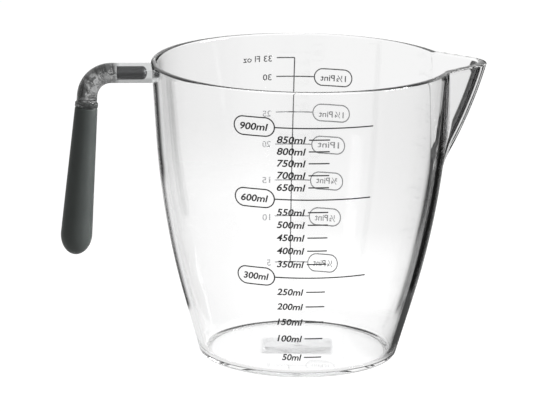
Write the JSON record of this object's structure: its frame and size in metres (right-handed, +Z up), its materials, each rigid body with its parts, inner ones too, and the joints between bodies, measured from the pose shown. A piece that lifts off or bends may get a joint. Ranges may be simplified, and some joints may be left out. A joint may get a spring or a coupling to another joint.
{
  "type": "measuring jug",
  "caption": "Clear flared measuring jug with a vee spout, printed millilitre, pint and ounce scales, and a round arm with a soft grip.",
  "frame": {"origin": "on the vessel's axis, at the plane of the ring that the jug stands on", "axes": "+X from the axis towards the pouring spout, with the handle along -X; -Y is the way the millilitre scale faces; +Z up, out of the open mouth"},
  "size_m": [0.1752, 0.124, 0.123],
  "materials": {
    "clear_wall": "clear, polished",
    "clear_arm": "clear, polished",
    "dark_pin": "satin",
    "soft_grip": "soft matte",
    "frosted_panel": "frosted",
    "front_ink": "printed ink",
    "back_ink": "printed ink"
  },
  "bodies": {
    "root": {"vessel": "clear_wall", "handle_arm": "clear_arm", "arm_core": "dark_pin", "grip": "soft_grip", "base_panel": "frosted_panel", "ml_lines": "front_ink", "ml_ticks": "front_ink", "ml_capsules": "front_ink", "ounce_lines": "back_ink", "pint_capsules": "back_ink"}
  },
  "joints": []
}
